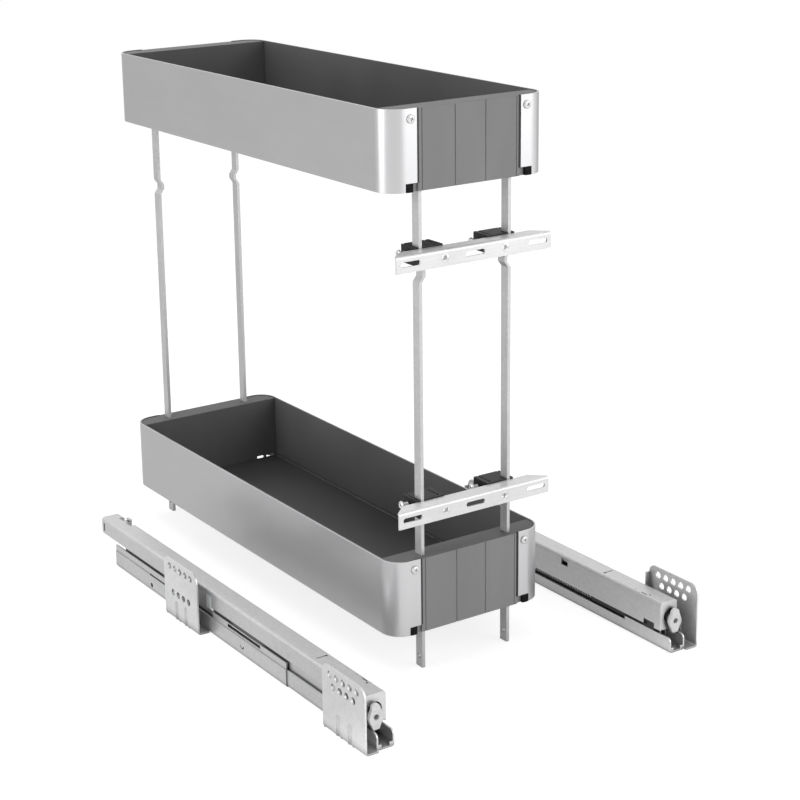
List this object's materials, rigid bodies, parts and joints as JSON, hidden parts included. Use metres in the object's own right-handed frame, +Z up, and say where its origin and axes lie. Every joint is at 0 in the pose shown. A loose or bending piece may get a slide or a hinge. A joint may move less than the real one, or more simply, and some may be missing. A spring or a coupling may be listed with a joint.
{
  "type": "pull out cabinet basket",
  "caption": "Narrow pull-out cabinet basket: two aluminium trays on flat bars with door brackets, and the pair of concealed telescopic runners that carry it.",
  "frame": {"origin": "bottom centre of the whole kit's box, on the plane that the bars' feet and the runners stand on", "axes": "+Z up, the trays' fronts and the door brackets face -Y, +X to the right seen from the front"},
  "size_m": [0.3416, 0.5674, 0.477],
  "materials": {
    "brushed_aluminium": "satin anodised",
    "dark_liner": "fine matt powder coat",
    "grey_plastic": "fine moulded texture",
    "black_plastic": "matt",
    "clear_plastic": "natural acetal, slightly translucent",
    "bright_zinc": "bright zinc plated",
    "zinc_steel": "zinc plated, satin"
  },
  "bodies": {
    "root": {"left_cabinet_rail": "zinc_steel", "left_front_bracket": "zinc_steel", "left_rear_bracket": "zinc_steel", "right_cabinet_rail": "zinc_steel", "right_front_bracket": "zinc_steel", "right_rear_bracket": "zinc_steel", "bracket_rivets": "zinc_steel"},
    "basket": {"upper_left_panel": "brushed_aluminium", "upper_right_panel": "brushed_aluminium", "upper_left_liner": "dark_liner", "upper_right_liner": "dark_liner", "upper_front_block": "grey_plastic", "upper_rear_block": "grey_plastic", "upper_floor": "dark_liner", "lower_left_panel": "brushed_aluminium", "lower_right_panel": "brushed_aluminium", "lower_left_liner": "dark_liner", "lower_right_liner": "dark_liner", "lower_front_block": "grey_plastic", "lower_rear_block": "grey_plastic", "lower_floor": "dark_liner", "panel_screws": "bright_zinc", "corner_clips": "black_plastic", "front_left_bar": "zinc_steel", "front_right_bar": "zinc_steel", "rear_left_bar": "zinc_steel", "rear_right_bar": "zinc_steel", "upper_door_bracket": "bright_zinc", "lower_door_bracket": "bright_zinc", "upper_left_clamp": "black_plastic", "upper_right_clamp": "black_plastic", "lower_left_clamp": "black_plastic", "lower_right_clamp": "black_plastic", "bracket_screws": "bright_zinc", "clamp_screws": "bright_zinc"},
    "left_middle": {"left_middle_rail": "zinc_steel"},
    "left_drawer": {"left_drawer_rail": "zinc_steel", "left_front_housing": "zinc_steel", "left_closing_spring": "bright_zinc", "left_closing_carriage": "black_plastic", "left_release_catch": "black_plastic", "left_damper": "black_plastic"},
    "left_cam": {"left_locking_cam": "zinc_steel"},
    "left_lower_rollers_set": {"left_lower_cage": "clear_plastic", "left_lower_rollers": "zinc_steel"},
    "left_upper_rollers_set": {"left_upper_cage": "clear_plastic", "left_upper_rollers": "zinc_steel"},
    "right_middle": {"right_middle_rail": "zinc_steel"},
    "right_drawer": {"right_drawer_rail": "zinc_steel", "right_front_housing": "zinc_steel", "right_closing_spring": "bright_zinc", "right_closing_carriage": "black_plastic", "right_release_catch": "black_plastic", "right_damper": "black_plastic"},
    "right_cam": {"right_locking_cam": "zinc_steel"},
    "right_lower_rollers_set": {"right_lower_cage": "clear_plastic", "right_lower_rollers": "zinc_steel"},
    "right_upper_rollers_set": {"right_upper_cage": "clear_plastic", "right_upper_rollers": "zinc_steel"}
  },
  "joints": [
    {"name": "basket_pull_out", "type": "slide", "parent": "root", "child": "basket", "axis": [0, -1, 0], "range_m": [0, 0.44]},
    {"name": "left_middle_slide", "type": "slide", "parent": "root", "child": "left_middle", "axis": [0, -1, 0], "range_m": [0, 0.22]},
    {"name": "left_drawer_slide", "type": "slide", "parent": "left_middle", "child": "left_drawer", "axis": [0, -1, 0], "range_m": [0, 0.22]},
    {"name": "left_lower_roller_slide", "type": "slide", "parent": "root", "child": "left_lower_rollers_set", "axis": [0, -1, 0], "range_m": [0, 0.11]},
    {"name": "left_upper_roller_slide", "type": "slide", "parent": "left_middle", "child": "left_upper_rollers_set", "axis": [0, -1, 0], "range_m": [0, 0.11]},
    {"name": "left_cam_turn", "type": "hinge", "parent": "left_drawer", "child": "left_cam", "pos_m": [-0.154, -0.26875, 0.025], "axis": [0, 1, 0], "range_deg": [-90, 0]},
    {"name": "right_middle_slide", "type": "slide", "parent": "root", "child": "right_middle", "axis": [0, -1, 0], "range_m": [0, 0.22]},
    {"name": "right_drawer_slide", "type": "slide", "parent": "right_middle", "child": "right_drawer", "axis": [0, -1, 0], "range_m": [0, 0.22]},
    {"name": "right_lower_roller_slide", "type": "slide", "parent": "root", "child": "right_lower_rollers_set", "axis": [0, -1, 0], "range_m": [0, 0.11]},
    {"name": "right_upper_roller_slide", "type": "slide", "parent": "right_middle", "child": "right_upper_rollers_set", "axis": [0, -1, 0], "range_m": [0, 0.11]},
    {"name": "right_cam_turn", "type": "hinge", "parent": "right_drawer", "child": "right_cam", "pos_m": [0.154, -0.26875, 0.025], "axis": [0, 1, 0], "range_deg": [0, 90]}
  ],
  "couplings": [
    {"joint": "left_middle_slide", "follows": "basket_pull_out", "ratio": 0.5},
    {"joint": "left_drawer_slide", "follows": "basket_pull_out", "ratio": 0.5},
    {"joint": "left_lower_roller_slide", "follows": "basket_pull_out", "ratio": 0.25},
    {"joint": "left_upper_roller_slide", "follows": "basket_pull_out", "ratio": 0.25},
    {"joint": "right_middle_slide", "follows": "basket_pull_out", "ratio": 0.5},
    {"joint": "right_drawer_slide", "follows": "basket_pull_out", "ratio": 0.5},
    {"joint": "right_lower_roller_slide", "follows": "basket_pull_out", "ratio": 0.25},
    {"joint": "right_upper_roller_slide", "follows": "basket_pull_out", "ratio": 0.25}
  ]
}
